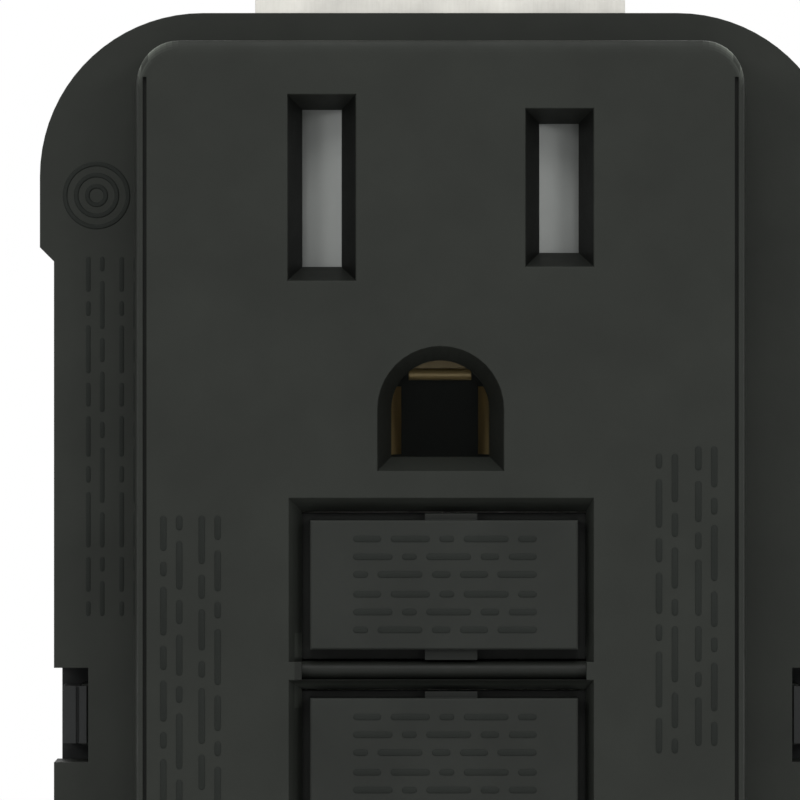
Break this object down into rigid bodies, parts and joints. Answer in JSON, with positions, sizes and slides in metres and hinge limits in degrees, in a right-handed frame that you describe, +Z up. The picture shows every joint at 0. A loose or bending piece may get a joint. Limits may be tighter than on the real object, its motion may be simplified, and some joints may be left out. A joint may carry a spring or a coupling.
{
  "type": "gfci receptacle",
  "caption": "Black decorator-style duplex receptacle with ground-fault protection, RESET and TEST buttons, safety shutters, a steel mounting strap and side terminal screws.",
  "frame": {"origin": "midway between the two mounting screws, on the rear face of the mounting strap", "axes": "+X to the right seen from the front, +Y into the wall box, +Z up"},
  "size_m": [0.0432, 0.0332, 0.1048],
  "materials": {
    "cover_black": "satin moulded thermoplastic",
    "button_black": "satin moulded thermoplastic",
    "housing_black": "fine moulded texture",
    "separator_black": "moulded",
    "shutter_grey": "moulded, slightly translucent grey-white",
    "white_nylon": "moulded nylon",
    "zinc_steel": "zinc-plated",
    "spring_steel": "drawn wire",
    "brass": "rolled",
    "nickel_brass": "nickel-plated brass",
    "contact_bronze": "rolled phosphor bronze",
    "contact_silver": "silver alloy",
    "winding_copper": "enamelled copper wire",
    "ground_green": "green finish on steel",
    "fibre": "pressed fibre",
    "board_green": "solder mask on laminate",
    "ferrite": "wound core",
    "epoxy_blue": "dipped epoxy",
    "film_orange": "dipped epoxy",
    "chip_black": "moulded epoxy",
    "resistor_tan": "lacquered"
  },
  "bodies": {
    "case": {"front_cover": "cover_black", "rear_housing": "housing_black", "separator": "separator_black", "mounting_strap": "zinc_steel", "strap_rivets": "brass", "upper_ground_contact": "brass", "lower_ground_contact": "brass", "test_blade": "contact_bronze", "test_post": "brass", "assembly_screws": "zinc_steel", "screw_retainers": "fibre", "upper_shutter_frame": "shutter_grey", "lower_shutter_frame": "shutter_grey", "upper_shutter_spring": "spring_steel", "lower_shutter_spring": "spring_steel", "hot_outlet_contact": "brass", "neutral_outlet_contact": "nickel_brass", "line_hot_terminal": "brass", "line_neutral_terminal": "nickel_brass", "line_hot_arm": "contact_bronze", "line_neutral_arm": "contact_bronze", "fixed_contacts": "contact_silver", "solenoid_bobbin": "white_nylon", "solenoid_coil": "winding_copper", "solenoid_frame": "zinc_steel", "plunger_spring": "spring_steel", "reset_spring": "spring_steel", "sense_toroid": "ferrite", "neutral_toroid": "ferrite", "toroid_case": "white_nylon", "circuit_board": "board_green", "varistor": "epoxy_blue", "capacitors": "film_orange", "control_chip": "chip_black", "scr": "chip_black", "diodes": "chip_black", "resistors": "resistor_tan"},
    "reset": {"reset_button": "button_black", "reset_pin": "zinc_steel"},
    "test": {"test_button": "button_black"},
    "lifter": {"lifter": "white_nylon", "moving_contacts": "contact_silver", "latch_spring": "spring_steel"},
    "latch": {"latch_plate": "zinc_steel"},
    "plunger": {"plunger": "zinc_steel"},
    "upper_hot_shutter": {"upper_hot_shutter": "shutter_grey"},
    "upper_neutral_shutter": {"upper_neutral_shutter": "shutter_grey"},
    "lower_hot_shutter": {"lower_hot_shutter": "shutter_grey"},
    "lower_neutral_shutter": {"lower_neutral_shutter": "shutter_grey"},
    "line_hot_screw": {"line_hot_screw": "brass"},
    "line_hot_clamp": {"line_hot_clamp": "zinc_steel"},
    "line_neutral_screw": {"line_neutral_screw": "nickel_brass"},
    "line_neutral_clamp": {"line_neutral_clamp": "zinc_steel"},
    "load_hot_screw": {"load_hot_screw": "brass"},
    "load_hot_clamp": {"load_hot_clamp": "zinc_steel"},
    "load_neutral_screw": {"load_neutral_screw": "nickel_brass"},
    "load_neutral_clamp": {"load_neutral_clamp": "zinc_steel"},
    "ground_screw": {"ground_screw": "ground_green"},
    "mounting_screw_top": {"mounting_screw_top": "zinc_steel"},
    "mounting_screw_bottom": {"mounting_screw_bottom": "zinc_steel"}
  },
  "joints": [
    {"name": "reset_press", "type": "slide", "parent": "case", "child": "reset", "axis": [0, 1, 0], "range_m": [0, 0.003], "stiffness_N_per_m": 800, "springref_m": -0.002, "deforming": ["reset_spring"]},
    {"name": "test_press", "type": "slide", "parent": "case", "child": "test", "axis": [0, 1, 0], "range_m": [0, 0.0015], "stiffness_N_per_m": 900, "springref_m": -0.001, "deforming": ["test_blade"]},
    {"name": "lifter_lift", "type": "slide", "parent": "case", "child": "lifter", "axis": [0, -1, 0], "range_m": [0, 0.0016], "stiffness_N_per_m": 600, "springref_m": -0.001, "deforming": ["line_hot_arm", "line_neutral_arm"]},
    {"name": "latch_slide", "type": "slide", "parent": "lifter", "child": "latch", "axis": [0, 0, -1], "range_m": [-0.0012, 0], "stiffness_N_per_m": 250, "springref_m": 0.0008, "deforming": ["latch_spring"]},
    {"name": "plunger_strike", "type": "slide", "parent": "case", "child": "plunger", "axis": [0, 0, -1], "range_m": [0, 0.003], "stiffness_N_per_m": 200, "springref_m": -0.001, "deforming": ["plunger_spring"]},
    {"name": "upper_hot_shutter_slide", "type": "slide", "parent": "case", "child": "upper_hot_shutter", "axis": [-1, 0, 0], "range_m": [0, 0.0027], "stiffness_N_per_m": 100, "springref_m": -0.0008, "deforming": ["upper_shutter_spring"]},
    {"name": "upper_neutral_shutter_slide", "type": "slide", "parent": "case", "child": "upper_neutral_shutter", "axis": [1, 0, 0], "range_m": [0, 0.0027], "stiffness_N_per_m": 100, "springref_m": -0.0008, "deforming": ["upper_shutter_spring"]},
    {"name": "lower_hot_shutter_slide", "type": "slide", "parent": "case", "child": "lower_hot_shutter", "axis": [-1, 0, 0], "range_m": [0, 0.0027], "stiffness_N_per_m": 100, "springref_m": -0.0008, "deforming": ["lower_shutter_spring"]},
    {"name": "lower_neutral_shutter_slide", "type": "slide", "parent": "case", "child": "lower_neutral_shutter", "axis": [1, 0, 0], "range_m": [0, 0.0027], "stiffness_N_per_m": 100, "springref_m": -0.0008, "deforming": ["lower_shutter_spring"]},
    {"name": "line_hot_screw_turn", "type": "hinge", "parent": "case", "child": "line_hot_screw", "pos_m": [0.0183, 0.012, -0.0155], "axis": [-1, 0, 0], "range_deg": [0, 720]},
    {"name": "line_hot_clamp_slide", "type": "slide", "parent": "case", "child": "line_hot_clamp", "axis": [1, 0, 0], "range_m": [0, 0.00159]},
    {"name": "line_neutral_screw_turn", "type": "hinge", "parent": "case", "child": "line_neutral_screw", "pos_m": [-0.0183, 0.012, -0.0155], "axis": [1, 0, 0], "range_deg": [0, 720]},
    {"name": "line_neutral_clamp_slide", "type": "slide", "parent": "case", "child": "line_neutral_clamp", "axis": [-1, 0, 0], "range_m": [0, 0.00159]},
    {"name": "load_hot_screw_turn", "type": "hinge", "parent": "case", "child": "load_hot_screw", "pos_m": [0.0183, 0.012, 0.0155], "axis": [-1, 0, 0], "range_deg": [0, 720]},
    {"name": "load_hot_clamp_slide", "type": "slide", "parent": "case", "child": "load_hot_clamp", "axis": [1, 0, 0], "range_m": [0, 0.00159]},
    {"name": "load_neutral_screw_turn", "type": "hinge", "parent": "case", "child": "load_neutral_screw", "pos_m": [-0.0183, 0.012, 0.0155], "axis": [1, 0, 0], "range_deg": [0, 720]},
    {"name": "load_neutral_clamp_slide", "type": "slide", "parent": "case", "child": "load_neutral_clamp", "axis": [-1, 0, 0], "range_m": [0, 0.00159]},
    {"name": "ground_screw_turn", "type": "hinge", "parent": "case", "child": "ground_screw", "pos_m": [-0.0128, 0.0054, -0.0402], "axis": [1, 0, 0], "range_deg": [0, 720]},
    {"name": "mounting_screw_top_turn", "type": "hinge", "parent": "case", "child": "mounting_screw_top", "pos_m": [0, 0, 0.04167], "axis": [0, 1, 0], "continuous": true},
    {"name": "mounting_screw_bottom_turn", "type": "hinge", "parent": "case", "child": "mounting_screw_bottom", "pos_m": [0, 0, -0.04167], "axis": [0, 1, 0], "continuous": true}
  ],
  "couplings": [
    {"joint": "upper_neutral_shutter_slide", "follows": "upper_hot_shutter_slide", "ratio": 1},
    {"joint": "lower_neutral_shutter_slide", "follows": "lower_hot_shutter_slide", "ratio": 1},
    {"joint": "line_hot_screw_turn", "follows": "line_hot_clamp_slide", "rad_per_m": 7913},
    {"joint": "line_neutral_screw_turn", "follows": "line_neutral_clamp_slide", "rad_per_m": 7913},
    {"joint": "load_hot_screw_turn", "follows": "load_hot_clamp_slide", "rad_per_m": 7913},
    {"joint": "load_neutral_screw_turn", "follows": "load_neutral_clamp_slide", "rad_per_m": 7913}
  ]
}
